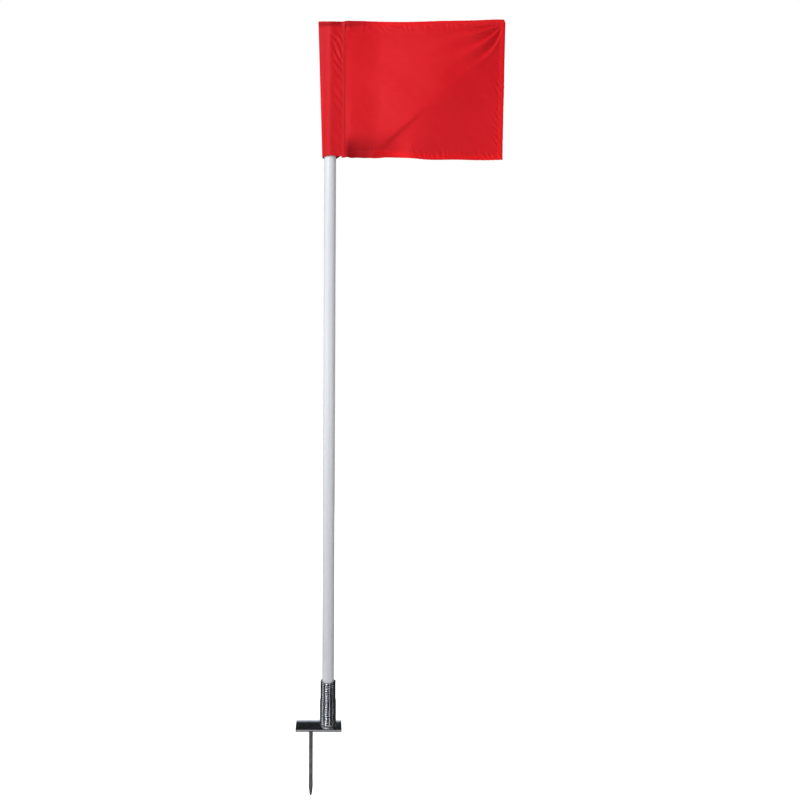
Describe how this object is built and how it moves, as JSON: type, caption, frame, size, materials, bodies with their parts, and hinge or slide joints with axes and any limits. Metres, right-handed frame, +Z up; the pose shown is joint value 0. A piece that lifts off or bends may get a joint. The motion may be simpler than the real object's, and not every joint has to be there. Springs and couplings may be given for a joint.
{
  "type": "spring-base corner flag",
  "caption": "Sewn rectangular flag on a slim white pole, standing in a close-wound coil spring on a flat steel foot with an offset ground spike.",
  "frame": {"origin": "on the ground spike's axis, in the plane of the foot plate's underside, which is ground level in use", "axes": "+Z up along the pole, +X along the foot plate towards the flag's fly edge, +Y away from the flag's front face"},
  "size_m": [0.442, 0.035, 1.6495],
  "materials": {
    "plated_steel": "polished",
    "spring_wire": "gloss",
    "spike_steel": "satin",
    "weld_metal": "satin",
    "white_plastic": "satin",
    "cap_plastic": "matte",
    "flag_cloth": "satin",
    "sewing_thread": "satin"
  },
  "bodies": {
    "foot": {"foot_plate": "plated_steel", "ground_spike": "spike_steel", "spike_weld": "weld_metal", "spring_stub": "plated_steel", "stub_weld": "weld_metal", "spring_foot_turns": "spring_wire"},
    "spring_middle": {"spring_middle_turns": "spring_wire"},
    "spring_grip": {"spring_grip_turns": "spring_wire"},
    "pole": {"pole_tube": "white_plastic", "pole_top_cap": "cap_plastic", "pole_end_plug": "cap_plastic"},
    "flag": {"flag_sleeve": "flag_cloth", "flag_panel": "flag_cloth", "hem_stitching": "sewing_thread", "seam_stitching": "sewing_thread", "sleeve_top_stitching": "sewing_thread"}
  },
  "joints": [
    {"name": "spring_side_bend", "type": "hinge", "parent": "foot", "child": "spring_middle", "pos_m": [0.036, 0, 0.0356], "axis": [0, 1, 0], "range_deg": [-45, 45], "stiffness_Nm_per_rad": 9, "deforming": ["spring_foot_turns", "spring_middle_turns"]},
    {"name": "spring_fore_bend", "type": "hinge", "parent": "spring_middle", "child": "spring_grip", "pos_m": [0.036, 0, 0.0578], "axis": [1, 0, 0], "range_deg": [-45, 45], "stiffness_Nm_per_rad": 9, "deforming": ["spring_grip_turns"]},
    {"name": "pole_pull_out", "type": "slide", "parent": "spring_grip", "child": "pole", "axis": [0, 0, 1], "range_m": [0, 0.04]},
    {"name": "flag_swivel", "type": "hinge", "parent": "pole", "child": "flag", "pos_m": [0.036, 0, 1.35], "axis": [0, 0, 1], "continuous": true}
  ]
}
